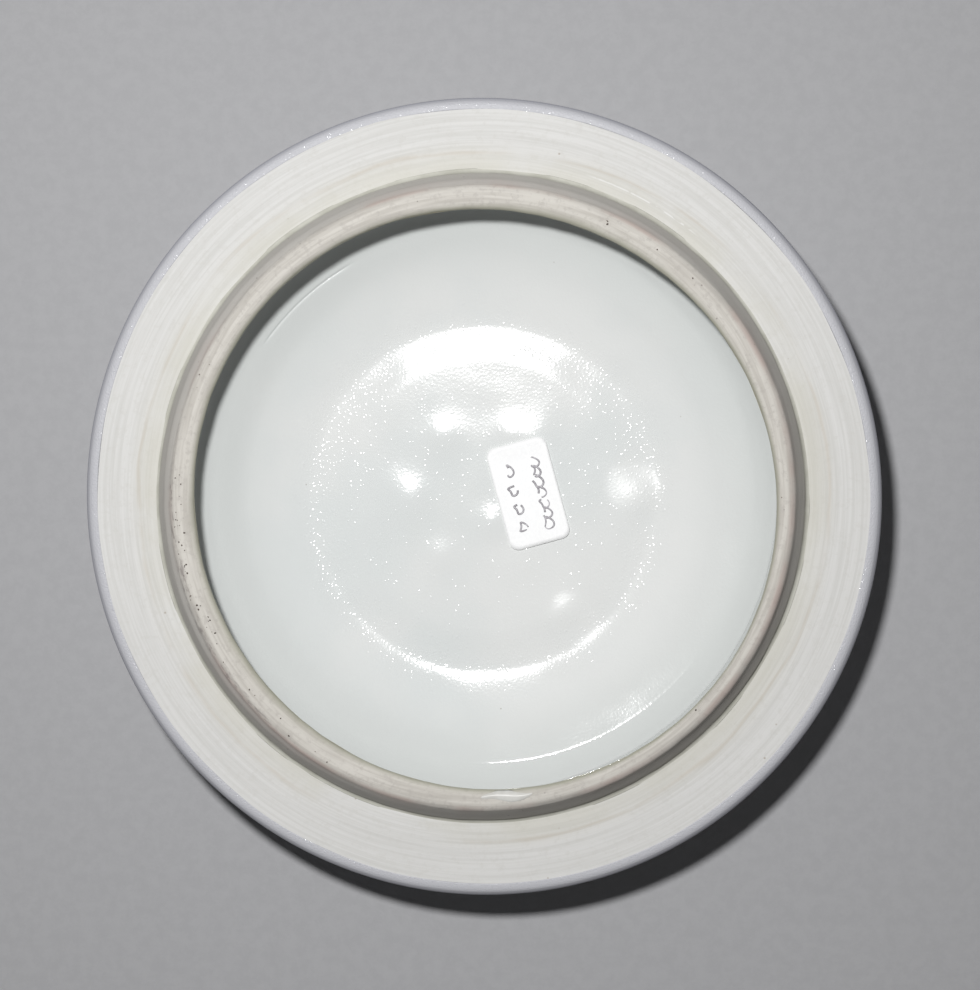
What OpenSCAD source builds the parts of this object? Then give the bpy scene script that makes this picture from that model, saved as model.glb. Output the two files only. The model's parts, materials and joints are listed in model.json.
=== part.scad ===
// Porcelain jar cover, lying upside down on its knob with the underside up.
// Axis of revolution +Z, origin at the middle of the knob's flat top (z = 0).

/* [Rim] */
// Diameter over the glazed edge of the rim
rim_d = 168; // [160:1:176]
// Thickness of the rim at its rounded edge
rim_edge_t = 3.6; // [3:0.1:4.4]
// Thickness of the rim where it meets the dome
rim_root_t = 5; // [4.6:0.1:5.6]

/* [Collar] */
// Diameter of the locating collar's cylindrical land, next to the seat
collar_d = 135.4; // [134.8:0.1:136]
// Height of the collar's crest over the seat
collar_h = 7; // [6.6:0.1:7.6]
// Height of the cylindrical land at the collar's root
land_h = 1; // [0.8:0.1:2]
// Outer diameter of the collar's flat crest
crest_out_d = 126.6; // [126:0.2:127.2]
// Inner diameter of the collar's mouth
mouth_d = 120.6; // [120:0.2:121.2]

/* [Dome] */
// Inner diameter at the foot of the collar's inner wall
foot_d = 124.6; // [124:0.2:125.2]
// Depth under the seat at which the floor bends up into the wall
ledge_depth = 7; // [6:0.5:9]
// Depth of the lowest ring of the hollow, under the seat
hollow_depth = 13.4; // [12:0.1:14]
// Diameter of that lowest ring
trough_d = 73; // [66:1:75]
// Height of the flat middle over the lowest ring
middle_rise = 0.45; // [0.25:0.05:0.8]
// Wall thickness of the dome
dome_t = 4; // [3.6:0.1:5]

/* [Knob] */
// Diameter of the button knob
knob_d = 34; // [30:1:38]
// Diameter of the knob's neck
neck_d = 26; // [22:1:28]
// Height of the knob
knob_h = 4; // [3.5:0.5:8]

/* [Glaze and slip] */
// Thickness of the glaze
glaze_t = 0.4; // [0.3:0.05:0.5]
// Thickness of the slip in the luted joints
slip_t = 0.5; // [0.4:0.05:0.6]

/* [Label] */
// Width of the paper label
label_w = 13.3; // [10:0.1:14]
// Length of the paper label
label_l = 22.6; // [18:0.1:24]
// Corner radius of the label
label_corner = 2; // [1:0.1:3]
// Thickness of the label paper
paper_t = 0.15; // [0.1:0.05:0.2]

/* [Hidden] */
$fn = 180;

// Radii of the driving diameters
rim_r = rim_d / 2;
collar_r = collar_d / 2;
crest_out_r = crest_out_d / 2;
mouth_r = mouth_d / 2;
foot_r = foot_d / 2;
trough_r = trough_d / 2;
knob_r = knob_d / 2;
neck_r = neck_d / 2;

// Small features of the thrown and turned clay
crest_round = 1.4;
shoulder_round = 2.2;
shoulder_end = 35;
glaze_edge_z = collar_h - crest_round;
foot_fillet = 1.4;
foot_curve = 12;
curve_start = 20;
curve_end = 52;
curve_w = foot_curve * (sin(curve_end) - sin(curve_start));
ledge_r = foot_r - foot_fillet * (1 - sin(curve_end)) - curve_w;
trough_blend = 3;
middle_r = trough_r - 8;
dome_out_r = foot_r - 4.5;
shoulder_r = 72;
knob_round = 1.6;
label_pos = [9.6, 0.6];
label_turn = 15.2;
adhesive_t = 0.1;
grit_count = 14;
curve_steps = 14;
glaze_taper = 1;
drip_turn = -85;
drip_step = 1.1;
grit_turn = 176;

// Heights, counted from the seat at 0 until the last step lifts everything
edge_c = rim_edge_t / 2;
edge_r = rim_r - edge_c;
dome_z = -hollow_depth - dome_t;
knob_top_z = dome_z - slip_t;
knob_end_z = knob_top_z - knob_h;
seat_z = glaze_t - knob_end_z;
side_rise = (hollow_depth - ledge_depth) / (blend_run(ledge_r - trough_r));
curve_z = foot_curve * cos(curve_start) - ledge_depth;
wall_low_z = curve_z - (foot_curve - foot_fillet) * cos(curve_end);

// Eases from 0 to 1 as x goes from 0 to 1
function ease(x) = let (u = min(max(x, 0), 1)) u * u * (3 - 2 * u);
function part_of(x) = x - floor(x);
function mix(a, b, u) = a + (b - a) * u;
function reverse(pts) = [for (i = [len(pts) - 1:-1:0]) pts[i]];
function steps(from, to, n) = [for (i = [0:n]) mix(from, to, i / n)];
function arc(centre, r, from, to, n) =
  [for (a = steps(from, to, n)) centre + r * [cos(a), sin(a)]];

// Run along a straight side that starts in a soft bend
function blend_run(x) = sqrt(x * x + trough_blend * trough_blend) - trough_blend;

// Height of the hollow's glazed floor at radius r
function floor_z(r) =
  r > trough_r
    ? side_rise * blend_run(r - trough_r) - hollow_depth
    : middle_rise * ease((trough_r - r) / (trough_r - middle_r)) - hollow_depth;

// Radius of the collar's glazed inner wall at height z
function wall_r(z) =
  mix(foot_r, mouth_r, (z - wall_low_z) / (glaze_edge_z - wall_low_z));

// Height of the clay on the outside, from the flat round the knob to the rim
function flange_z(r) =
  mix(-rim_root_t, -rim_edge_t, (r - shoulder_r) / (edge_r - shoulder_r)) + glaze_t;
function dome_side_z(r) = floor_z(min(max(r, trough_r), ledge_r)) - dome_t;
function outside_z(r) =
  mix(dome_side_z(r), flange_z(r), ease((r - dome_out_r) / (shoulder_r - dome_out_r)));

// Lines that clay and glaze share: t = 0 is the glaze's surface, t = glaze_t the clay's
function floor_line(t) = concat(
  [[0, floor_z(0) - t], [middle_r, floor_z(middle_r) - t]],
  [for (r = steps(middle_r, trough_r, 8)) if (r > middle_r) [r, floor_z(r) - t]],
  [for (r = steps(trough_r, ledge_r, curve_steps)) if (r > trough_r) [r, floor_z(r) - t]],
  arc([ledge_r - foot_curve * sin(curve_start), curve_z], foot_curve + t,
    curve_start - 90, curve_end - 90, 8),
  arc([foot_r - foot_fillet, wall_low_z], foot_fillet + t, curve_end - 84, 0, 6)
);
function outside_line(t, from) = concat(
  [[from, outside_z(from) - t]],
  [for (r = steps(trough_r, dome_out_r, curve_steps)) [r, outside_z(r) - t]],
  [for (r = steps(dome_out_r, shoulder_r, curve_steps)) if (r > dome_out_r) [r, outside_z(r) - t]]
);
function rim_clay_r(a) = edge_c - glaze_t * ease((90 - a) / 50);
function rim_clay_line() =
  [for (a = steps(-90, 90, 18)) [edge_r, -edge_c] + rim_clay_r(a) * [cos(a), sin(a)]];
function rim_glaze_line() = arc([edge_r, -edge_c], edge_c, -90, 90, 18);
function knob_line(t) = concat(
  [for (u = steps(0, 1, 10))
    [mix(neck_r, knob_r, ease(u)) + t, mix(knob_top_z, knob_end_z + knob_round, u)]],
  arc([knob_r - knob_round, knob_end_z + knob_round], knob_round + t, 0, -90, 8)
);

module seated() translate([0, 0, seat_z]) children();
module turned(outline) seated() rotate_extrude() polygon(outline);

module cover_body() color([0.84, 0.81, 0.76])
  turned(concat(
    outside_line(0, 0),
    rim_clay_line(),
    [[collar_r, 0], [collar_r - slip_t, -slip_t], [wall_r(-slip_t) + glaze_t, -slip_t]],
    reverse(floor_line(glaze_t))
  ));

module locating_collar() color([0.80, 0.77, 0.72])
  turned(concat(
    [[wall_r(0) + glaze_t, 0], [collar_r, 0], [collar_r, land_h]],
    arc([crest_out_r, collar_h - shoulder_round], shoulder_round, shoulder_end, 90, 8),
    arc([mouth_r + crest_round, glaze_edge_z], crest_round, 90, 180, 6),
    [[wall_r(glaze_edge_z - glaze_taper) + glaze_t, glaze_edge_z - glaze_taper]]
  ));

module collar_luting_slip() color([0.66, 0.63, 0.58])
  turned([
    [wall_r(-slip_t) + glaze_t, -slip_t], [collar_r - slip_t, -slip_t],
    [collar_r, 0], [wall_r(0) + glaze_t, 0]
  ]);

module knob() color([0.84, 0.81, 0.76])
  turned(concat([[0, knob_top_z]], knob_line(0), [[0, knob_end_z]]));

module knob_luting_slip() color([0.66, 0.63, 0.58])
  seated() translate([0, 0, knob_top_z]) cylinder(r = neck_r, h = slip_t);

// The glaze inside the hollow, up the collar's inner wall to its mouth
module inner_glaze() color([0.86, 0.88, 0.86])
  turned(concat(
    floor_line(0),
    [[mouth_r, glaze_edge_z]],
    [[wall_r(glaze_edge_z - glaze_taper) + glaze_t, glaze_edge_z - glaze_taper]],
    reverse(floor_line(glaze_t))
  ));

// The glaze on the outside, round the rim's edge to the seat
module outer_glaze() color([0.88, 0.89, 0.90])
  turned(concat(
    outside_line(glaze_t, neck_r),
    rim_glaze_line(),
    reverse(rim_clay_line()),
    reverse(outside_line(0, neck_r))
  ));

module knob_glaze() color([0.88, 0.89, 0.90])
  turned(concat(
    [[neck_r, dome_z - glaze_t], [neck_r + glaze_t, dome_z - glaze_t]],
    knob_line(glaze_t),
    [[0, knob_end_z - glaze_t], [0, knob_end_z]],
    reverse(knob_line(0))
  ));

// One low drop with a rounded top, of radius r and height h
module drop(r, h) {
  ball = (r * r + h * h) / (2 * h);
  rotate_extrude() polygon(concat([[0, 0]], arc([0, h - ball], ball, asin(1 - h / ball), 90, 8)));
}

// Glaze that ran over the crest before the firing
module glaze_drip() color([0.93, 0.94, 0.94])
  seated() for (i = [-1:1])
    rotate([0, 0, drip_turn + drip_step * i])
      translate([(mouth_r + crest_round + crest_out_r) / 2, 0, collar_h])
        drop(0.8 - 0.2 * abs(i), 0.4 - 0.1 * abs(i));

// Specks of kiln grit burnt on to the crest, spread by the golden ratio
module kiln_grit() color([0.30, 0.27, 0.25])
  seated() for (i = [1:grit_count])
    rotate([0, 0, grit_turn + 52 * part_of(i * 0.618)])
      translate([crest_out_r - 0.45 - 0.7 * part_of(i * 0.37), 0, collar_h])
        cylinder(r1 = 0.3 + 0.1 * part_of(i * 0.71), r2 = 0.2, h = 0.25);

module rounded_label(thickness)
  linear_extrude(thickness) {
    inner_w = label_w - 2 * label_corner;
    inner_l = label_l - 2 * label_corner;
    square([label_w, inner_l], center = true);
    square([inner_w, label_l], center = true);
    for (x = [-1, 1], y = [-1, 1])
      translate([x * inner_w, y * inner_l] / 2) circle(r = label_corner);
  }

module on_label_place(lift)
  seated() translate([label_pos.x, label_pos.y, floor_z(0) + lift])
    rotate([0, 0, label_turn]) children();

module label_paper() color([0.97, 0.97, 0.96])
  on_label_place(adhesive_t) rounded_label(paper_t);

module label_adhesive() color([0.90, 0.88, 0.80])
  on_label_place(0) rounded_label(adhesive_t);

cover_body();
locating_collar();
collar_luting_slip();
knob();
knob_luting_slip();
inner_glaze();
outer_glaze();
knob_glaze();
glaze_drip();
kiln_grit();
label_paper();
label_adhesive();
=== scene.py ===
import json
import math

import bmesh
import bpy
import numpy as np
from mathutils import Matrix, Vector


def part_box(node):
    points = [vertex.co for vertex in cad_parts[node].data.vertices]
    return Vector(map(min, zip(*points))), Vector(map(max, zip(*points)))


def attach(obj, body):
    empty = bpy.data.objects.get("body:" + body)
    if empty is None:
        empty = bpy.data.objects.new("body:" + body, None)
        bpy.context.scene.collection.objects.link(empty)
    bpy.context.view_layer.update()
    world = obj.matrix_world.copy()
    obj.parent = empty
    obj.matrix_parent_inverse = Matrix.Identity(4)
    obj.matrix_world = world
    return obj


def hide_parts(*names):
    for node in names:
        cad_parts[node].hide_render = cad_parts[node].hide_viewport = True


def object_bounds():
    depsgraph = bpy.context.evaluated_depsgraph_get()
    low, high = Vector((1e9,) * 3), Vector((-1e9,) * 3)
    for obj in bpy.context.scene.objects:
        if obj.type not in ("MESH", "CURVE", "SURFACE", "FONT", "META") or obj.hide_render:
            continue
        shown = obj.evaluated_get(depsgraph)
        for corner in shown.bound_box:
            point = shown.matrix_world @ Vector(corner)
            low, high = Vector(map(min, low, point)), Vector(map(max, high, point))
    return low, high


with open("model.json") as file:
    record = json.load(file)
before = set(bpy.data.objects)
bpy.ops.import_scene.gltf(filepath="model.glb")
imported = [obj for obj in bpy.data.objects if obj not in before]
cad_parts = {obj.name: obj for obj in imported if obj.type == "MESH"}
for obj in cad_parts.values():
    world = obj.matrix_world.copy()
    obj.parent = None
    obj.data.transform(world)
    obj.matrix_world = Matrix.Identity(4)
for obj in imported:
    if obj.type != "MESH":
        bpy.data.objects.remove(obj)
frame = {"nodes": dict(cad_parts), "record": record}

CAD_BOX = [list(corner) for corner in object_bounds()]
MM = 0.001


# ---------------------------------------------------------------- the frame's sizes, in mm

def mount(name):
    return next(m for m in frame["record"]["mounts"] if m["name"] == name)


def box_mm(node):
    low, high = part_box(node)
    return [c / MM for c in low], [c / MM for c in high]


SEAT_Z = mount("seat")["pos_m"][2] / MM
COLLAR_R = mount("collar_spigot")["dims"]["r_mm"]
LAND_H = mount("collar_spigot")["dims"]["length_mm"]
RIM_R = CAD_BOX[1][0] / MM
CREST_Z = box_mm("locating_collar")[1][2]
KNOB_LOW, KNOB_HIGH = box_mm("knob")
KNOB_R = KNOB_HIGH[0]
GLAZE_T = KNOB_LOW[2] - box_mm("knob_glaze")[0][2]
HOLLOW_Z = box_mm("inner_glaze")[0][2] + GLAZE_T
GLAZE_EDGE_Z = box_mm("inner_glaze")[1][2]
DOME_Z = box_mm("cover_body")[0][2]
SLIP_T = SEAT_Z - box_mm("collar_luting_slip")[0][2]
PAPER_LOW, PAPER_HIGH = box_mm("label_paper")
PAPER_T = PAPER_HIGH[2] - PAPER_LOW[2]
MIDDLE_Z = box_mm("label_adhesive")[0][2]

# Radii and heights that no node's box shows, as the part's source has them
MOUTH_R = 60.3
FOOT_R = 62.3
CREST_OUT_R = 63.3
CREST_ROUND = 1.4
SHOULDER_ROUND = 2.2
SHOULDER_END = 35
LEDGE_Z = SEAT_Z - 7.0
FOOT_FILLET = 1.4
FOOT_CURVE = 12.0
CURVE_START = 20
CURVE_END = 52
START_SIN, START_COS = math.sin(math.radians(CURVE_START)), math.cos(math.radians(CURVE_START))
END_SIN, END_COS = math.sin(math.radians(CURVE_END)), math.cos(math.radians(CURVE_END))
LEDGE_R = FOOT_R - FOOT_FILLET * (1 - END_SIN) - FOOT_CURVE * (END_SIN - START_SIN)
CURVE_Z = LEDGE_Z + FOOT_CURVE * START_COS
WALL_LOW_Z = CURVE_Z - (FOOT_CURVE - FOOT_FILLET) * END_COS
TROUGH_R = 36.5
TROUGH_BLEND = 3.0
MIDDLE_R = TROUGH_R - 8.0
DOME_T = HOLLOW_Z - DOME_Z
RIM_EDGE_T = 3.6
RIM_ROOT_T = 5.0
SHOULDER_R = 72.0
DOME_OUT_R = FOOT_R - 4.5
NECK_R = 13.0
KNOB_ROUND = 1.6
EDGE_C = RIM_EDGE_T / 2
GLAZE_LAP = 0.8
EDGE_R = RIM_R - EDGE_C

# Directions, clockwise from +X, in which the hand-thrown rim and mouth are slightly longer
OVAL_TURN = math.radians(50)
MOUTH_TURN = math.radians(38)
MOUTH_OVAL = 0.73

# How far the mouth is off centre, and its direction, clockwise from +X
MOUTH_SHIFT = 1.16
MOUTH_SHIFT_TURN = math.radians(25)

# Width over which the crest rounds off into the mouth
MOUTH_ROUND = 2.3

# Thin line that a turning tool left near the foot of the wall: its radius, half its width,
# and each stretch of it by start, end and fade in degrees and depth in mm
TOOL_R = 56.9
TOOL_HALF = 0.2
TOOL_STRETCHES = [(266, 326, 8, 0.032), (118, 146, 4, 0.15)]

# Radius of the slip pressed into the corner between collar and seat
BEAD_R = 1.1

# Gap kept between a glaze coat and the clay that it hides, so that no two faces coincide
HIDE = 0.06

# Depth of the inside glaze's hidden back, more than its unevenness
GLAZE_BACK = 1.1

# A profile point nearer the axis than this, in mm, is one point on the axis
ON_AXIS = 1e-6


# ---------------------------------------------------------------- profiles

def ease(x):
    u = np.clip(x, 0.0, 1.0)
    return u * u * (3 - 2 * u)


def mix(a, b, u):
    return a + (b - a) * u


def blend_run(x):
    return np.sqrt(x * x + TROUGH_BLEND ** 2) - TROUGH_BLEND


SIDE_RISE = (LEDGE_Z - HOLLOW_Z) / blend_run(LEDGE_R - TROUGH_R)


def floor_z(r):
    """Height of the hollow's glazed floor at radius r."""
    side = HOLLOW_Z + SIDE_RISE * blend_run(np.maximum(r - TROUGH_R, 0))
    middle = HOLLOW_Z + (MIDDLE_Z - HOLLOW_Z) * ease((TROUGH_R - r) / (TROUGH_R - MIDDLE_R))
    return np.where(r > TROUGH_R, side, middle)


def wall_r(z):
    return mix(FOOT_R, MOUTH_R, (z - WALL_LOW_Z) / (GLAZE_EDGE_Z - WALL_LOW_Z))


def outside_z(r):
    """Height of the clay on the outside at radius r."""
    flange = SEAT_Z + GLAZE_T - mix(RIM_ROOT_T, RIM_EDGE_T, (r - SHOULDER_R) / (EDGE_R - SHOULDER_R))
    dome = floor_z(np.clip(r, TROUGH_R, LEDGE_R)) - DOME_T
    return mix(dome, flange, ease((r - DOME_OUT_R) / (SHOULDER_R - DOME_OUT_R)))


def line(start, end, step):
    """Points from start to end, about step apart, without the last one."""
    start, end = np.array(start, float), np.array(end, float)
    n = max(1, int(round(np.linalg.norm(end - start) / step)))
    return [tuple(start + (end - start) * i / n) for i in range(n)]


def arc(centre, radius, start, end, n):
    angles = np.radians(np.linspace(start, end, n + 1))
    return [(centre[0] + radius * math.cos(a), centre[1] + radius * math.sin(a)) for a in angles]


def floor_line(t):
    """The hollow's floor, foot curve and fillet from the axis outwards, t under the glaze's face."""
    radii = np.concatenate([np.linspace(0, MIDDLE_R, 30)[:-1], np.linspace(MIDDLE_R, LEDGE_R, 80)[:-1]])
    floor = [(r, float(floor_z(r)) - t) for r in radii]
    curve_middle = (LEDGE_R - FOOT_CURVE * START_SIN, CURVE_Z)
    curve = arc(curve_middle, FOOT_CURVE + t, CURVE_START - 90, CURVE_END - 90, 60)
    fillet = arc((FOOT_R - FOOT_FILLET, WALL_LOW_Z), FOOT_FILLET + t, CURVE_END - 84, 0, 8)
    return floor + curve + fillet


def outside_line(t, start):
    radii = np.concatenate([[start], np.linspace(start, TROUGH_R, 20)[1:],
                            np.linspace(TROUGH_R, EDGE_R, 90)[1:]])
    return [(float(r), float(outside_z(r)) - t) for r in radii]


def seen(points):
    return [(r, z, 1.0) for r, z in points]


def hidden(points):
    return [(r, z, 0.0) for r, z in points]


# ---------------------------------------------------------------- uneven, hand-made surfaces

def waves(seed, length, count=28):
    """A smooth random height of about -1 to 1 over x and y, with bumps about length mm apart."""
    rng = np.random.RandomState(seed)
    turn = rng.uniform(0, 2 * math.pi, count)
    phase = rng.uniform(0, 2 * math.pi, count)
    k = 2 * math.pi / length * rng.uniform(0.6, 1.4, count)

    def height(x, y):
        total = np.zeros_like(x)
        for a, p, q in zip(turn, phase, k):
            total += np.cos(q * (x * math.cos(a) + y * math.sin(a)) + p)
        return total / math.sqrt(count)
    return height


def wobble(seed, angle, orders):
    """A closed random curve of about -1 to 1 over the angle round the axis."""
    rng = np.random.RandomState(seed)
    total = np.zeros_like(angle)
    for n in orders:
        total += rng.uniform(0.5, 1) * np.cos(n * angle + rng.uniform(0, 2 * math.pi))
    return total / math.sqrt(len(orders))


# Where the potter's fingers left the hollow uneven: place x, y, reach and height in mm
FINGER_MARKS = [
    (-9.0, 13.0, 2.6, 0.31), (5.9, 13.7, 2.6, 0.33), (10.5, 12.6, 2.2, 0.24),
    (-16.5, -1.0, 3.5, 0.47), (1.4, -6.0, 2.4, 0.40), (-10.0, -13.3, 2.6, 0.28),
    (33.4, -0.3, 3.0, 0.50), (17.5, -25.0, 3.0, 0.42), (-28.5, -19.5, 3.0, 0.16),
]

# Rise of the hollow's middle towards +X for each mm across
HOLLOW_LEAN = 0.016


def hollow_unevenness(x, y, r):
    inside = 1 - ease((r - 50) / 8)
    total = 0.05 * waves(3, 34)(x, y) + 0.02 * waves(4, 11)(x, y)
    for mx, my, reach, height in FINGER_MARKS:
        total += height * np.exp(-((x - mx) ** 2 + (y - my) ** 2) / (2 * reach ** 2))
    return (total + HOLLOW_LEAN * x) * inside


def lathe(name, outline, shape=None, segments=720, closed=True):
    """A turned solid: outline is (radius, height, weight) in mm; shape moves its seen points."""
    points = np.array(outline, float)
    angles = np.arange(segments) * 2 * math.pi / segments
    r = np.repeat(points[:, 0:1], segments, 1)
    z = np.repeat(points[:, 1:2], segments, 1)
    weight = np.repeat(points[:, 2:3], segments, 1)
    angle = np.repeat(angles[None], len(points), 0)
    if shape:
        dr, dz = shape(r, z, angle)
        r, z = r + weight * dr, z + weight * dz
    bm = bmesh.new()
    rings = []
    for i in range(len(points)):
        if points[i, 0] < ON_AXIS:
            rings.append([bm.verts.new((0, 0, z[i, 0] * MM))] * segments)
            continue
        xs, ys = r[i] * np.cos(angles) * MM, r[i] * np.sin(angles) * MM
        rings.append([bm.verts.new((x, y, h * MM)) for x, y, h in zip(xs, ys, z[i])])
    pairs = list(zip(rings, rings[1:]))
    if closed and points[0, 0] > ON_AXIS:
        pairs.append((rings[-1], rings[0]))
    for low, high in pairs:
        for j in range(segments):
            k = (j + 1) % segments
            corners = dict.fromkeys([low[j], low[k], high[k], high[j]])
            if len(corners) > 2:
                bm.faces.new(corners)
    return to_object(name, bm)


def to_object(name, bm, smooth=True):
    bmesh.ops.recalc_face_normals(bm, faces=bm.faces)
    mesh = bpy.data.meshes.new(name)
    bm.to_mesh(mesh)
    bm.free()
    for polygon in mesh.polygons:
        polygon.use_smooth = smooth
    piece = bpy.data.objects.new(name, mesh)
    bpy.context.scene.collection.objects.link(piece)
    return piece


def place(piece, material, slot, *nodes):
    piece.data.materials.append(material)
    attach(piece, "root")
    if nodes:
        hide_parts(*nodes)
    return piece


# ---------------------------------------------------------------- node helpers

class Look:
    """A Principled material and short calls for the nodes that feed it."""

    def __init__(self, name):
        self.material = bpy.data.materials.new(name)
        self.material.use_nodes = True
        self.tree = self.material.node_tree
        self.shader = self.tree.nodes["Principled BSDF"]
        self.coords = self.node("ShaderNodeTexCoord").outputs["Object"]

    def node(self, kind, **settings):
        made = self.tree.nodes.new(kind)
        for key, value in settings.items():
            setattr(made, key, value)
        return made

    def feed(self, socket, value):
        if isinstance(value, bpy.types.NodeSocket):
            self.tree.links.new(value, socket)
        elif value is not None:
            socket.default_value = value

    def math(self, operation, a, b=None, c=None):
        made = self.node("ShaderNodeMath", operation=operation)
        for socket, value in zip(made.inputs, (a, b, c)):
            self.feed(socket, value)
        return made.outputs[0]

    def vector(self, operation, a, b=None):
        made = self.node("ShaderNodeVectorMath", operation=operation)
        self.feed(made.inputs[0], a)
        self.feed(made.inputs[1], b)
        return made.outputs["Value" if operation in ("LENGTH", "DISTANCE") else "Vector"]

    def noise(self, scale, detail=3.0, rough=0.5, coords=None, distortion=0.0):
        made = self.node("ShaderNodeTexNoise")
        self.feed(made.inputs["Vector"], coords or self.coords)
        made.inputs["Scale"].default_value = scale
        made.inputs["Detail"].default_value = detail
        made.inputs["Roughness"].default_value = rough
        made.inputs["Distortion"].default_value = distortion
        return made.outputs["Fac"]

    def spots(self, scale, size):
        """1 inside scattered round spots and 0 between them, and a random number for each spot."""
        made = self.node("ShaderNodeTexVoronoi")
        self.feed(made.inputs["Vector"], self.coords)
        made.inputs["Scale"].default_value = scale
        near = self.range(made.outputs["Distance"], size, size * 0.4, 0, 1)
        apart = self.node("ShaderNodeSeparateColor")
        self.feed(apart.inputs[0], made.outputs["Color"])
        return near, apart.outputs[0]

    def range(self, value, low, high, to_low=0.0, to_high=1.0):
        """Runs smoothly from to_low to to_high while value goes from low to high."""
        made = self.node("ShaderNodeMapRange", interpolation_type="SMOOTHSTEP")
        self.feed(made.inputs[0], value)
        for socket, number in zip(list(made.inputs)[1:5], (low, high, to_low, to_high)):
            socket.default_value = number
        return made.outputs[0]

    def band(self, value, low, high, soft):
        """1 where value is between low and high, with soft edges."""
        rise = self.range(value, low - soft, low + soft)
        fall = self.range(value, high - soft, high + soft, 1, 0)
        return self.math("MULTIPLY", rise, fall)

    def mixed(self, amount, a, b):
        made = self.node("ShaderNodeMix", data_type="RGBA")
        self.feed(made.inputs[0], amount)
        for socket, value in ((made.inputs[6], a), (made.inputs[7], b)):
            self.feed(socket, (*value, 1) if isinstance(value, tuple) else value)
        return made.outputs[2]

    def polar(self):
        """Radius and height in mm, and the x and y of the direction away from the axis."""
        flat = self.vector("MULTIPLY", self.coords, (1000, 1000, 0))
        radius = self.vector("LENGTH", flat)
        way = self.vector("NORMALIZE", flat)
        split = self.node("ShaderNodeSeparateXYZ")
        self.feed(split.inputs[0], self.coords)
        height = self.math("MULTIPLY", split.outputs[2], 1000)
        parts = self.node("ShaderNodeSeparateXYZ")
        self.feed(parts.inputs[0], way)
        return radius, height, parts.outputs[0], parts.outputs[1]

    def rings(self, radius, x, y, round_scale, radial_scale):
        """Coordinates that stretch a noise into rings round the axis."""
        made = self.node("ShaderNodeCombineXYZ")
        self.feed(made.inputs[0], self.math("MULTIPLY", x, round_scale))
        self.feed(made.inputs[1], self.math("MULTIPLY", y, round_scale))
        self.feed(made.inputs[2], self.math("MULTIPLY", radius, radial_scale))
        return made.outputs[0]

    def bump(self, height, depth_mm, below=None):
        made = self.node("ShaderNodeBump")
        made.inputs["Strength"].default_value = 1.0
        made.inputs["Distance"].default_value = depth_mm * MM
        self.feed(made.inputs["Height"], height)
        if below is not None:
            self.feed(made.inputs["Normal"], below)
        return made.outputs["Normal"]

    def finish(self, colour, roughness, normal=None, specular=0.5):
        self.feed(self.shader.inputs["Base Color"], (*colour, 1) if isinstance(colour, tuple) else colour)
        self.feed(self.shader.inputs["Roughness"], roughness)
        self.shader.inputs["Specular IOR Level"].default_value = specular
        if normal is not None:
            self.feed(self.shader.inputs["Normal"], normal)
        return self.material


# ---------------------------------------------------------------- materials

# Places in the hollow, in mm, where a smear leaves the glaze less glossy
SMEARS = [(31.9, 2.0), (19.2, -26.1)]


def glaze_dots(look, radius, scale, size, crowding, share):
    """Tiny raised dots in the hollow's middle, crowded along the bend of the trough."""
    dot, pick = look.spots(scale, size)
    bend = look.band(radius, TROUGH_R - 4, TROUGH_R + 2, 3)
    kept = look.range(look.math("MULTIPLY_ADD", bend, crowding, pick), *share)
    inside = look.range(radius, 46, 40)
    return look.math("MULTIPLY", look.math("MULTIPLY", dot, kept), inside)


def glaze_inside():
    look = Look("glaze_inside")
    radius, height, _, _ = look.polar()
    cloud = look.noise(28, 3)
    colour = look.mixed(look.range(cloud, 0.35, 0.65), (0.68, 0.703, 0.697), (0.73, 0.738, 0.728))
    # Darker and a little greener towards the wall: partly glaze pooled thicker there, partly painted shade
    # of the light falling off towards the wall.
    wall_pool_and_shade = look.range(radius, 42, 60)
    colour = look.mixed(wall_pool_and_shade, colour, (0.60, 0.618, 0.607))
    # Olive and darker high on the inside wall, under the mouth: the thin glaze's own olive tone, deepened as
    # painted shade under the crest.
    thin = look.range(height, SEAT_Z + 3.2, GLAZE_EDGE_Z - 0.4)
    thin = look.math("MULTIPLY", thin, look.range(look.noise(300, 2), 0.3, 0.7, 0.8, 1))
    colour = look.mixed(thin, colour, (0.30, 0.28, 0.20))
    near, pick = look.spots(260, 0.06)
    speck = look.math("MULTIPLY", near, look.range(pick, 0.97, 0.975))
    colour = look.mixed(look.math("MULTIPLY", speck, 0.5), colour, (0.25, 0.22, 0.16))
    peel = look.noise(1700, 2, 0.5)
    slow = look.noise(500, 2)
    normal = look.bump(slow, 0.004, look.bump(peel, 0.022))
    normal = look.bump(glaze_dots(look, radius, 1500, 0.42, 0.6, (0.86, 0.92)), 0.017, normal)
    normal = look.bump(glaze_dots(look, radius, 900, 0.36, 0.62, (0.90, 0.95)), 0.024, normal)
    rough = look.range(look.noise(90, 2), 0.3, 0.7, 0.10, 0.14)
    for x_mm, y_mm in SMEARS:
        off = look.vector("DISTANCE", look.coords, (x_mm * MM, y_mm * MM, HOLLOW_Z * MM))
        rough = look.math("ADD", rough, look.range(off, 7 * MM, 4 * MM, 0, 0.14))
    return look.finish(colour, rough, normal)


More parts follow.
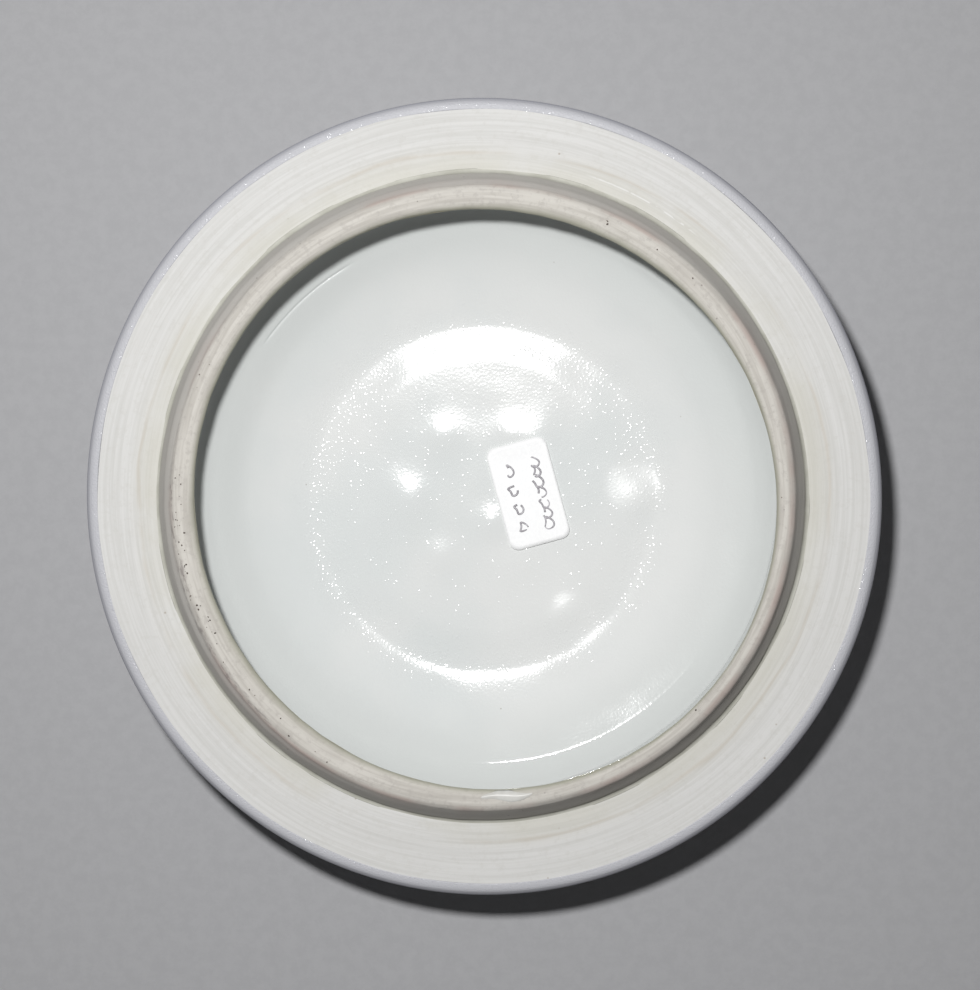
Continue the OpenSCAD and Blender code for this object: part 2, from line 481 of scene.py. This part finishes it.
def glaze_outside():
    look = Look("glaze_outside")
    radius, height, _, _ = look.polar()
    cloud = look.noise(24, 3)
    colour = look.mixed(look.range(cloud, 0.35, 0.65), (0.66, 0.68, 0.72), (0.73, 0.735, 0.755))
    pooled = look.band(radius, 64, 71, 3)
    pooled = look.math("MULTIPLY", pooled, look.range(height, SEAT_Z - 1, SEAT_Z - 3))
    colour = look.mixed(look.math("MULTIPLY", pooled, 0.55), colour, (0.56, 0.63, 0.66))
    # Painted shade: the rounded rim edge is painted darker where it turns away from the light, and darker
    # and a little bluer on its side.
    top = look.range(height, SEAT_Z - 2.2, SEAT_Z - 0.7)
    side = look.band(height, SEAT_Z - 2.6, SEAT_Z - 0.6, 0.5)
    colour = look.mixed(top, colour, (0.47, 0.472, 0.50))
    colour = look.mixed(side, colour, (0.35, 0.355, 0.40))
    near, pick = look.spots(240, 0.07)
    speck = look.math("MULTIPLY", near, look.range(pick, 0.94, 0.95))
    colour = look.mixed(look.math("MULTIPLY", speck, 0.6), colour, (0.22, 0.17, 0.12))
    peel = look.noise(950, 2.5, 0.55)
    lap = look.math("MULTIPLY", look.range(height, SEAT_Z - 0.5, SEAT_Z - 0.2), look.noise(3200, 2))
    normal = look.bump(look.noise(260, 2), 0.012, look.bump(peel, 0.012, look.bump(lap, 0.10)))
    rough = look.range(look.noise(70, 2), 0.3, 0.7, 0.10, 0.17)
    glint, pick = look.spots(1500, 0.4)
    glint = look.math("MULTIPLY", glint, look.range(pick, 0.45, 0.5))
    dull = look.math("MULTIPLY", top, look.range(glint, 0, 1, 0.38, 0.0))
    rough = look.math("ADD", rough, dull)
    return look.finish(colour, rough, normal)


def clay_seat():
    look = Look("clay_seat")
    radius, _, x, y = look.polar()
    streak = look.noise(1, 4, 0.6, look.rings(radius, x, y, 2.2, 1.6))
    fine = look.noise(1, 3, 0.6, look.rings(radius, x, y, 9, 5.5))
    colour = look.mixed(look.range(streak, 0.36, 0.66), (0.655, 0.65, 0.635), (0.60, 0.595, 0.575))
    colour = look.mixed(look.range(fine, 0.5, 0.75, 0, 0.35), colour, (0.70, 0.70, 0.695))
    mottle = look.noise(700, 4, 0.7)
    colour = look.mixed(look.range(mottle, 0.5, 0.68, 0, 0.35), colour, (0.56, 0.55, 0.52))
    wear = look.noise(26, 4, 0.6)
    inner = look.math("MULTIPLY", look.range(radius, 75.5, 69.5), look.range(wear, 0.35, 0.6))
    colour = look.mixed(look.math("MULTIPLY", inner, 0.4), colour, (0.52, 0.50, 0.41))
    line_noise = look.noise(1, 2, 0.5, look.rings(radius, x, y, 3, 0.2))
    ring = look.band(look.math("ADD", radius, look.range(line_noise, 0.3, 0.7, -0.5, 0.5)), 72.2, 72.9, 0.35)
    colour = look.mixed(look.math("MULTIPLY", ring, look.range(wear, 0.42, 0.62, 0, 0.3)),
                        colour, (0.47, 0.40, 0.31))
    wipe = look.math("MULTIPLY", look.band(radius, 70.75, 71.05, 0.12), look.band(x, 0.33, 0.63, 0.03))
    wipe = look.math("MULTIPLY", wipe, look.range(y, 0.0, 0.1))
    broken = look.noise(1, 2, 0.5, look.rings(radius, x, y, 30, 1))
    wipe = look.math("MULTIPLY", wipe, look.range(broken, 0.42, 0.52, 0, 0.5))
    colour = look.mixed(wipe, colour, (0.85, 0.85, 0.85))
    near, pick = look.spots(420, 0.13)
    speck = look.math("MULTIPLY", near, look.range(pick, 0.95, 0.97))
    colour = look.mixed(look.math("MULTIPLY", speck, 0.6), colour, (0.33, 0.27, 0.21))
    grain = look.noise(1800, 3, 0.6)
    normal = look.bump(fine, 0.02, look.bump(grain, 0.012))
    rough = look.range(streak, 0.3, 0.7, 0.68, 0.85)
    return look.finish(colour, rough, normal, 0.35)


def clay_collar():
    look = Look("clay_collar")
    radius, height, x, y = look.polar()
    streak = look.noise(1, 4, 0.6, look.rings(radius, x, y, 3.5, 1.2))
    colour = look.mixed(look.range(streak, 0.36, 0.66), (0.60, 0.575, 0.53), (0.49, 0.465, 0.425))
    mottle = look.noise(800, 4, 0.7)
    colour = look.mixed(look.range(mottle, 0.5, 0.66, 0, 0.5), colour, (0.43, 0.405, 0.375))
    blush = look.math("MULTIPLY", look.band(radius, 64.2, 66.2, 0.5),
                      look.range(look.noise(60, 3), 0.38, 0.62))
    colour = look.mixed(look.math("MULTIPLY", blush, 0.6), colour, (0.52, 0.40, 0.36))
    # Painted shade: the collar's outer wall, below the crest, is painted darker grey for the shade that
    # falls on it.
    outer = look.range(radius, CREST_OUT_R, CREST_OUT_R + 0.8)
    wall = look.math("MULTIPLY", look.range(height, CREST_Z - 0.5, CREST_Z - 2.2), outer)
    colour = look.mixed(look.math("MULTIPLY", wall, 0.75), colour, (0.44, 0.425, 0.40))
    # Olive and darker on the crest's inner rounding into the mouth: the glaze edge's own olive tone,
    # deepened as painted shade where the crest turns down.
    mouth = look.range(radius, CREST_OUT_R - 0.3, CREST_OUT_R - 1.2)
    mouth = look.math("MULTIPLY", mouth, look.range(height, CREST_Z - 0.15, CREST_Z - 1.1))
    colour = look.mixed(look.math("MULTIPLY", mouth, 0.85), colour, (0.34, 0.335, 0.265))
    near, pick = look.spots(650, 0.16)
    speck = look.math("MULTIPLY", near, look.range(pick, 0.88, 0.9))
    dirty = look.range(look.noise(45, 3), 0.42, 0.6)
    colour = look.mixed(look.math("MULTIPLY", look.math("MULTIPLY", speck, dirty), 0.7),
                        colour, (0.16, 0.13, 0.12))
    smudge = look.range(look.noise(1, 4, 0.65, look.rings(radius, x, y, 22, 1.6)), 0.5, 0.66)
    side = look.math("MULTIPLY", look.range(x, -0.5, -0.8), look.range(y, 0.3, 0.0))
    side = look.math("MULTIPLY", side, look.band(radius, CREST_OUT_R, CREST_OUT_R + 1.5, 0.5))
    colour = look.mixed(look.math("MULTIPLY", look.math("MULTIPLY", smudge, side), 0.6),
                        colour, (0.21, 0.18, 0.175))
    grain = look.noise(1500, 3, 0.6)
    normal = look.bump(streak, 0.05, look.bump(grain, 0.02))
    rough = look.range(streak, 0.3, 0.7, 0.7, 0.88)
    return look.finish(colour, rough, normal, 0.35)


def slip_clay():
    look = Look("slip_clay")
    cloud = look.noise(160, 4, 0.6)
    colour = look.mixed(look.range(cloud, 0.35, 0.65), (0.53, 0.525, 0.47), (0.45, 0.445, 0.39))
    return look.finish(colour, look.range(cloud, 0.3, 0.7, 0.75, 0.9), look.bump(cloud, 0.04), 0.3)


def burnt_grit():
    look = Look("burnt_grit")
    cloud = look.noise(1500, 3)
    colour = look.mixed(look.range(cloud, 0.35, 0.65), (0.055, 0.042, 0.038), (0.16, 0.125, 0.105))
    return look.finish(colour, look.range(cloud, 0.3, 0.7, 0.45, 0.8), look.bump(cloud, 0.03), 0.5)


def white_glaze():
    look = Look("white_glaze")
    cloud = look.noise(400, 3)
    colour = look.mixed(look.range(cloud, 0.35, 0.65), (0.59, 0.58, 0.55), (0.655, 0.65, 0.62))
    return look.finish(colour, look.range(cloud, 0.3, 0.7, 0.34, 0.42), look.bump(cloud, 0.01), 0.35)


def label_paper():
    look = Look("label_paper")
    fibre = look.noise(900, 4, 0.65, distortion=0.6)
    cloud = look.noise(70, 2)
    colour = look.mixed(look.range(fibre, 0.35, 0.65), (0.89, 0.89, 0.895), (0.94, 0.94, 0.94))
    colour = look.mixed(look.range(cloud, 0.55, 0.75, 0, 0.3), colour, (0.86, 0.855, 0.85))
    return look.finish(colour, look.range(fibre, 0.3, 0.7, 0.55, 0.75), look.bump(fibre, 0.008), 0.4)


def pen_ink():
    look = Look("pen_ink")
    skip = look.noise(1400, 3)
    colour = look.mixed(look.range(skip, 0.4, 0.65), (0.36, 0.34, 0.37), (0.56, 0.54, 0.57))
    return look.finish(colour, look.range(skip, 0.3, 0.7, 0.45, 0.65), specular=0.4)


def label_glue():
    look = Look("label_glue")
    cloud = look.noise(500, 3)
    colour = look.mixed(look.range(cloud, 0.35, 0.65), (0.72, 0.69, 0.58), (0.80, 0.78, 0.69))
    return look.finish(colour, look.range(cloud, 0.3, 0.7, 0.3, 0.5), look.bump(cloud, 0.01), 0.5)


def floor_paper():
    look = Look("floor_paper")
    cloud = look.noise(310, 4, 0.75)
    colour = look.mixed(look.range(cloud, 0.35, 0.65), (0.385, 0.385, 0.395), (0.405, 0.405, 0.415))
    return look.finish(colour, 0.9, look.bump(cloud, 0.04), 0.2)


# ---------------------------------------------------------------- the pieces

def rim_wander(angle, seed):
    return 0.24 * np.cos(2 * (angle + OVAL_TURN)) + 0.06 * wobble(seed, angle, (3, 4, 5)) - 0.12


def seat_shape(r, z, angle):
    x, y = r * np.cos(angle), r * np.sin(angle)
    ripple = np.cos(2 * math.pi * r / 1.9 + 1.2 * wobble(8, angle, (1, 2, 3)))
    return 0 * r, 0.03 * waves(5, 26)(x, y) + 0.008 * ripple - 0.05


def clay_disc():
    outline = hidden([(r, z + HIDE) for r, z in outside_line(0, 0.0)])
    outline += hidden([(EDGE_R + 0.9, SEAT_Z - 1.8), (EDGE_R + 0.6, SEAT_Z - 0.6)])
    outline += hidden([(EDGE_R, SEAT_Z - 0.3)])
    outline += seen(line((EDGE_R - 0.3, SEAT_Z), (COLLAR_R - 1, SEAT_Z), 0.25))
    outline += hidden([(COLLAR_R - 1.5, SEAT_Z - 0.1), (FOOT_R + 1.6, SEAT_Z - 0.1)])
    outline += hidden([(r, z - HIDE) for r, z in reversed(floor_line(GLAZE_BACK))])
    return lathe("clay_disc", outline, seat_shape, 720)


def mouth_wander(angle):
    """The hand-trimmed mouth is a little oval and off centre."""
    oval = MOUTH_OVAL * np.cos(2 * (angle + MOUTH_TURN))
    return oval + MOUTH_SHIFT * np.cos(angle + MOUTH_SHIFT_TURN)


def collar_shape(r, z, angle):
    x, y = r * np.cos(angle), r * np.sin(angle)
    crest = ease((z - SEAT_Z - 4) / 2)
    inner = ease((CREST_OUT_R - r) / (CREST_OUT_R - MOUTH_R))
    dr = 0.08 * wobble(11, angle, (3, 4, 5, 7)) * crest + 0.03 * waves(12, 7)(x, y)
    outer = 0.5 * np.cos(angle + MOUTH_SHIFT_TURN) - 0.2
    dr = dr + inner * mouth_wander(angle) + (1 - inner) * crest * outer
    dz = (0.10 * wobble(13, angle, (2, 3, 5)) - 0.14) * crest + 0.03 * waves(14, 5)(x, y) * crest
    return dr, dz


def collar_ring():
    root = [(COLLAR_R, SEAT_Z - 0.2), (COLLAR_R, SEAT_Z + LAND_H)]
    shoulder = arc((CREST_OUT_R, CREST_Z - SHOULDER_ROUND), SHOULDER_ROUND, SHOULDER_END, 90, 14)
    outline = hidden([(FOOT_R + 1.2, SEAT_Z - 0.2)])
    outline += seen(line(root[0], root[1], 0.3) + line(root[1], shoulder[0], 0.25) + shoulder[:-1])
    outline += seen(line((CREST_OUT_R, CREST_Z), (MOUTH_R + MOUTH_ROUND, CREST_Z), 0.25))
    outline += seen([(MOUTH_R + MOUTH_ROUND * (1 + c), GLAZE_EDGE_Z + CREST_ROUND * s)
                     for c, s in arc((0, 0), 1, 90, 180, 14)])
    outline += seen([(wall_r(GLAZE_EDGE_Z - 1) + GLAZE_T + 4 * HIDE, GLAZE_EDGE_Z - 1)])
    return lathe("collar_ring", outline, collar_shape, 900)


def slip_shape(r, z, angle):
    out = ease((r - COLLAR_R + 0.2) / 0.4)
    return 0.08 * wobble(21, angle, (3, 5, 8, 13, 21)) * out, 0 * z


def collar_slip():
    bead = arc((COLLAR_R + BEAD_R, SEAT_Z + BEAD_R - 0.06), BEAD_R, -90, -172, 12)
    outline = hidden([(COLLAR_R - 0.5, SEAT_Z - SLIP_T), (COLLAR_R + BEAD_R - 0.1, SEAT_Z - 0.3)])
    outline += seen(bead) + hidden([(COLLAR_R - 0.5, bead[-1][1] + 0.1)])
    return lathe("collar_slip", outline, slip_shape, 900)


def tool_line(r, angle):
    """A thin groove that the turning tool left on two stretches of the foot."""
    turn = np.degrees(angle)
    groove = np.zeros_like(r)
    for start, end, fade, depth in TOOL_STRETCHES:
        groove += depth * ease((turn - start) / fade) * ease((end - turn) / fade)
    return -groove * np.exp(-((r - TOOL_R) / TOOL_HALF) ** 2)


def hollow_shape(r, z, angle):
    x, y = r * np.cos(angle), r * np.sin(angle)
    on_wall = ease((z - LEDGE_Z - 0.3) / 1.0)
    wall = 0.06 * waves(31, 12)(x, y) - 0.06
    up = ease((z - SEAT_Z + 2) / (GLAZE_EDGE_Z - SEAT_Z + 2))
    dz = hollow_unevenness(x, y, r) + tool_line(r, angle)
    return on_wall * wall + up * mouth_wander(angle), dz * (1 - on_wall)


def hollow_glaze():
    top = FOOT_R, WALL_LOW_Z
    outline = seen(floor_line(0) + line(top, (MOUTH_R, GLAZE_EDGE_Z), 0.4)[1:])
    outline += seen([(MOUTH_R + 0.1, GLAZE_EDGE_Z - 0.05)])
    outline += seen([(wall_r(GLAZE_EDGE_Z - 1) + GLAZE_T, GLAZE_EDGE_Z - 1)])
    outline += hidden(reversed(floor_line(GLAZE_BACK)))
    return lathe("hollow_glaze", outline, hollow_shape, 600)


def coat_shape(r, z, angle):
    x, y = r * np.cos(angle), r * np.sin(angle)
    at_rim = ease((r - 78) / 4)
    dz = 0.05 * np.abs(waves(41, 30)(x, y)) + 0.02 * np.cos(2 * math.pi * r / 3.4) * (1 - at_rim)
    return rim_wander(angle, 42) * at_rim, np.maximum(dz, 0) * (1 - at_rim)


def outside_coat():
    outline = seen(outside_line(GLAZE_T, NECK_R))
    outline += seen(arc((EDGE_R, SEAT_Z - EDGE_C), EDGE_C, -90, 90, 28)[1:])
    outline += seen(line((EDGE_R - 0.1, SEAT_Z + 0.01), (EDGE_R - GLAZE_LAP, SEAT_Z), 0.12))
    outline += seen([(EDGE_R - GLAZE_LAP - 0.15, SEAT_Z - 0.1)])
    outline += hidden([(EDGE_R - GLAZE_LAP + 0.1, SEAT_Z - 0.3), (EDGE_R + 0.8, SEAT_Z - 0.8)])
    outline += hidden([(EDGE_R + 0.95, SEAT_Z - 1.8), (EDGE_R, SEAT_Z - RIM_EDGE_T + GLAZE_T)])
    outline += hidden(reversed(outside_line(0, NECK_R)[:-1]))
    return lathe("outside_coat", outline, coat_shape, 720)


def knob_line(t):
    top, low = DOME_Z - SLIP_T, KNOB_LOW[2]
    side = [(mix(NECK_R, KNOB_R, float(ease(u))) + t, mix(top, low + KNOB_ROUND, u))
            for u in np.linspace(0, 1, 24)]
    return side + arc((KNOB_R - KNOB_ROUND, low + KNOB_ROUND), KNOB_ROUND + t, 0, -90, 14)


def knob_shape(r, z, angle):
    above = ease((z - KNOB_LOW[2]) / 1.5)
    return -0.08 * np.abs(wobble(51, angle, (2, 3, 5))) * above, 0 * z


def knob_coat():
    neck = [(NECK_R + 1.1, DOME_Z - GLAZE_T + 0.05), (NECK_R + 0.55, DOME_Z - GLAZE_T - 0.18)]
    flat = line((KNOB_R - KNOB_ROUND, KNOB_LOW[2] - GLAZE_T), (0, KNOB_LOW[2] - GLAZE_T), 1)[1:]
    outline = hidden([(NECK_R + HIDE, DOME_Z - 0.1)]) + seen(neck + knob_line(GLAZE_T)[2:] + flat)
    outline += hidden([(0, KNOB_LOW[2] - GLAZE_T), (0, KNOB_LOW[2] - HIDE)])
    outline += hidden(reversed([(r + HIDE, z) for r, z in knob_line(0)]))
    return lathe("knob_coat", outline, knob_shape, 360, closed=False)


def polar_place(angle_deg, radius, z):
    a = math.radians(angle_deg)
    return Vector((radius * math.cos(a), radius * math.sin(a), z)) * MM


# The run of glaze: where it lies round the crest and how far it reaches each way, in degrees,
# and how deep its underside is sunk in the clay
RUN_TURN = -84.5
RUN_REACH = 5.0
RUN_SUNK = 0.34


def glaze_run():
    """An uneven bead of glaze along the crest, thick in the middle and thin at both ends."""
    bm = bmesh.new()
    across, along = 14, 60
    middle_r = (MOUTH_R + CREST_OUT_R) / 2 + 0.4
    rows = []
    for i in range(along + 1):
        u = i / along * 2 - 1
        fade = math.sqrt(max(0.0, 1 - u * u))
        lumps = 1 + 0.15 * math.sin(4 * u + 1) + 0.04 * math.sin(13 * u)
        half = 0.1 + 1.0 * fade * lumps
        height = 0.22 + 0.16 * fade * lumps
        drift = 0.3 * math.sin(3 * u)
        row = []
        for j in range(across + 1):
            v = j / across * 2 - 1
            base = CREST_Z - RUN_SUNK - 0.6 * max(0.0, -v) ** 2
            z = base + height * math.sqrt(max(0.0, 1 - v * v))
            place_at = polar_place(RUN_TURN + u * RUN_REACH, middle_r + drift + v * half, z)
            row.append(bm.verts.new(place_at))
        rows.append(row)
    for a, b in zip(rows, rows[1:]):
        for j in range(across):
            bm.faces.new((a[j], a[j + 1], b[j + 1], b[j]))
        bm.faces.new((a[across], a[0], b[0], b[across]))
    bm.faces.new(rows[0])
    bm.faces.new(list(reversed(rows[-1])))
    return to_object("glaze_run", bm)


def grit_grain(bm, centre, size, rng):
    made = bmesh.ops.create_icosphere(bm, subdivisions=2, radius=size * MM)
    squash = Vector((rng.uniform(0.7, 1.4), rng.uniform(0.7, 1.4), rng.uniform(0.4, 0.7)))
    turn = Matrix.Rotation(rng.uniform(0, 2 * math.pi), 3, "Z")
    for v in made["verts"]:
        lump = 1 + rng.uniform(-0.16, 0.16)
        v.co = turn @ Vector([c * s * lump for c, s in zip(v.co, squash)]) + centre


# Grains of grit, and those of them that lie in one stretch round the crest, in degrees
GRAINS = 64
GATHERED_GRAINS = 44
GATHERED_TURN = 201
GATHERED_SPREAD = 14


def grit_grains():
    """Dark grains, most of them on one stretch of the crest, the rest anywhere on it."""
    rng = np.random.RandomState(71)
    bm = bmesh.new()
    for i in range(GRAINS):
        gathered = i < GATHERED_GRAINS
        turn = rng.normal(GATHERED_TURN, GATHERED_SPREAD) if gathered else rng.uniform(0, 360)
        radius = rng.uniform(MOUTH_R + 1.2, CREST_OUT_R + 0.7)
        drop = max(0.0, radius - CREST_OUT_R)
        size = rng.uniform(0.07, 0.2)
        grit_grain(bm, polar_place(turn, radius, CREST_Z - 0.12 - drop), size, rng)
    return to_object("grit_grains", bm)


def rounded_outline(width, length, corner, n=8):
    """Points of a rectangle with round corners, going round once."""
    points = []
    for sx, sy, start in ((1, 1, 0), (-1, 1, 90), (-1, -1, 180), (1, -1, 270)):
        centre = (sx * (width / 2 - corner), sy * (length / 2 - corner))
        points += arc(centre, corner, start, start + 90, n)
    return points


# The label's sizes, its turn in degrees and the glue under it
LABEL_W = 13.3
LABEL_L = 22.6
LABEL_CORNER = 2.0
LABEL_TURN = 15.2
GLUE_T = 0.12

# The pen's width, the size of its loops, and each row of them by place across and count
PEN_W = 0.44
PEN_SIZE = 2.5
PEN_ROWS = [(-2.8, 4), (2.7, 7)]


def label_to_part(x, y, lift):
    """A point of the label, with the paper's gentle curl, in the part's frame."""
    middle = (Vector(PAPER_LOW) + Vector(PAPER_HIGH)) / 2
    turned = Matrix.Rotation(math.radians(LABEL_TURN), 3, "Z") @ Vector((x, y, 0))
    px, py = middle.x + turned.x, middle.y + turned.y
    r = np.array(math.hypot(px, py))
    rest = float(floor_z(r)) + float(hollow_unevenness(np.array(px), np.array(py), r))
    curl = 0.10 * (x / LABEL_W * 2) ** 4 + 0.22 * max(0.0, y / LABEL_L * 2) ** 6
    return Vector((px, py, rest + GLUE_T + curl + lift)) * MM


def paper_label():
    bm = bmesh.new()
    steps = 12
    outline = rounded_outline(LABEL_W, LABEL_L, LABEL_CORNER)
    faces = []
    for lift in (0.0, PAPER_T):
        centre = bm.verts.new(label_to_part(0, 0, lift))
        loops = [[bm.verts.new(label_to_part(x * k / steps, y * k / steps, lift)) for x, y in outline]
                 for k in range(1, steps + 1)]
        faces.append(loops[-1])
        for j in range(len(outline)):
            k = (j + 1) % len(outline)
            bm.faces.new((centre, loops[0][j], loops[0][k]))
            for a, b in zip(loops, loops[1:]):
                bm.faces.new((a[j], b[j], b[k], a[k]))
    low, high = faces
    for j in range(len(outline)):
        k = (j + 1) % len(outline)
        bm.faces.new((low[j], low[k], high[k], high[j]))
    return to_object("paper_label", bm)


def pen_stroke(bm, points, width):
    """A thin raised ribbon of ink through points on the label, in mm."""
    rows = []
    for i, (x, y) in enumerate(points):
        before, after = points[max(i - 1, 0)], points[min(i + 1, len(points) - 1)]
        way = Vector((after[0] - before[0], after[1] - before[1], 0)).normalized()
        side = Vector((-way.y, way.x, 0)) * width / 2
        rows.append([bm.verts.new(label_to_part(x + s * side.x, y + s * side.y, PAPER_T + lift))
                     for s, lift in ((-1, -0.002), (0, 0.02), (1, -0.002))])
    for a, b in zip(rows, rows[1:]):
        for j in range(2):
            bm.faces.new((a[j], a[j + 1], b[j + 1], b[j]))
        bm.faces.new((a[2], a[0], b[0], b[2]))
    bm.faces.new(rows[0])
    bm.faces.new(list(reversed(rows[-1])))


def squiggle(rng, centre, size):
    """One generic pen loop: an open, wandering curve that stands for no letter or figure."""
    phase, turns = rng.uniform(0, 2 * math.pi), rng.uniform(0.6, 0.95)
    a, b = rng.uniform(0.3, 0.5) * size, rng.uniform(0.35, 0.5) * size
    points = []
    for u in np.linspace(0, 1, 22):
        t = phase + turns * 2 * math.pi * u
        pull = 1 - 0.45 * u
        points.append((centre[0] + a * pull * math.cos(t) + 0.12 * size * math.sin(2.3 * t),
                       centre[1] + b * math.sin(t) + 0.1 * size * math.cos(1.7 * t)))
    return points


def pen_marks():
    """Two rows of generic squiggles along the label, where a hand has written on it."""
    rng = np.random.RandomState(90)
    bm = bmesh.new()
    for column, count in PEN_ROWS:
        for i in range(count):
            y = mix(-8.6, 7.6, (i + 0.5) / count) + rng.uniform(-0.3, 0.3)
            x = column + rng.uniform(-0.25, 0.25)
            pen_stroke(bm, squiggle(rng, (x, y), PEN_SIZE), PEN_W)
    return to_object("pen_marks", bm)


def make_pieces():
    inside, outside = glaze_inside(), glaze_outside()
    place(clay_disc(), clay_seat(), "bisque_porcelain", "cover_body")
    place(collar_ring(), clay_collar(), "bisque_porcelain", "locating_collar")
    place(collar_slip(), slip_clay(), "luting_slip", "collar_luting_slip")
    place(hollow_glaze(), inside, "inside_glaze", "inner_glaze")
    place(outside_coat(), outside, "outside_glaze", "outer_glaze")
    place(knob_coat(), outside, "outside_glaze", "knob_glaze")
    place(glaze_run(), white_glaze(), "inside_glaze", "glaze_drip")
    place(grit_grains(), burnt_grit(), "grit", "kiln_grit")
    place(paper_label(), label_paper(), "label_paper", "label_paper")
    place(pen_marks(), pen_ink(), "label_paper")


def finish_cad_nodes():
    """The pieces under the glaze and the label keep their CAD shape."""
    looks = {"knob": clay_seat(), "knob_luting_slip": slip_clay(), "label_adhesive": label_glue()}
    for node, material in looks.items():
        for slot in frame["nodes"][node].material_slots:
            slot.material = material


# ---------------------------------------------------------------- floor, light and camera

# Height of camera and light over the seat, in m, and how far each leans to the side per m of height
CAMERA_D = 0.48
CAMERA_SIDE = (0.055, 0.01)
LIGHT_SIDE = (-0.10, 0.24)

# The light's size in m, its power in W, and the strength of the even light from all round
LIGHT_WIDTH = 0.054
LIGHT_HEIGHT = 0.044
LIGHT_POWER = 2.6
FILL = 0.065

# Share of the picture's width that the rim takes, and the point in m that the camera looks at
RIM_SHARE = 0.809
AIM = (0.0021, 0.0004)
SENSOR_MM = 36
FLOOR_HALF = 3.0


def look_at(obj, eye, target):
    """Turns obj to look from eye at target, with +Y up in its view."""
    forward = (target - eye).normalized()
    right = forward.cross(Vector((0, 1, 0))).normalized()
    up = right.cross(forward)
    rows = [(right[i], up[i], -forward[i], eye[i]) for i in range(3)]
    obj.matrix_world = Matrix(rows + [(0, 0, 0, 1)])


def make_camera():
    scene = bpy.context.scene
    data = bpy.data.cameras.new("camera")
    camera = bpy.data.objects.new("camera", data)
    scene.collection.objects.link(camera)
    target = Vector((AIM[0], AIM[1], SEAT_Z * MM))
    eye = target + Vector((CAMERA_SIDE[0], CAMERA_SIDE[1], 1)) * CAMERA_D
    look_at(camera, eye, target)
    data.sensor_width = SENSOR_MM
    data.lens = SENSOR_MM * (eye - target).length * RIM_SHARE / (2 * RIM_R * MM)
    scene.camera = camera


def make_light():
    scene = bpy.context.scene
    data = bpy.data.lights.new("key", "AREA")
    data.shape = "ELLIPSE"
    data.size = LIGHT_WIDTH
    data.size_y = LIGHT_HEIGHT
    data.energy = LIGHT_POWER
    key = bpy.data.objects.new("key", data)
    scene.collection.objects.link(key)
    target = Vector((0, 0, SEAT_Z * MM))
    look_at(key, target + Vector((LIGHT_SIDE[0], LIGHT_SIDE[1], 1)) * CAMERA_D, target)
    world = bpy.data.worlds.new("fill")
    world.use_nodes = True
    background = world.node_tree.nodes["Background"]
    background.inputs["Color"].default_value = (1, 1, 1, 1)
    background.inputs["Strength"].default_value = FILL
    scene.world = world


def make_floor():
    bm = bmesh.new()
    bmesh.ops.create_grid(bm, x_segments=8, y_segments=8, size=FLOOR_HALF)
    floor = to_object("floor", bm)
    floor.data.materials.append(floor_paper())


make_camera()
make_light()
make_floor()
make_pieces()
finish_cad_nodes()
bpy.context.scene.view_settings.view_transform = "Standard"
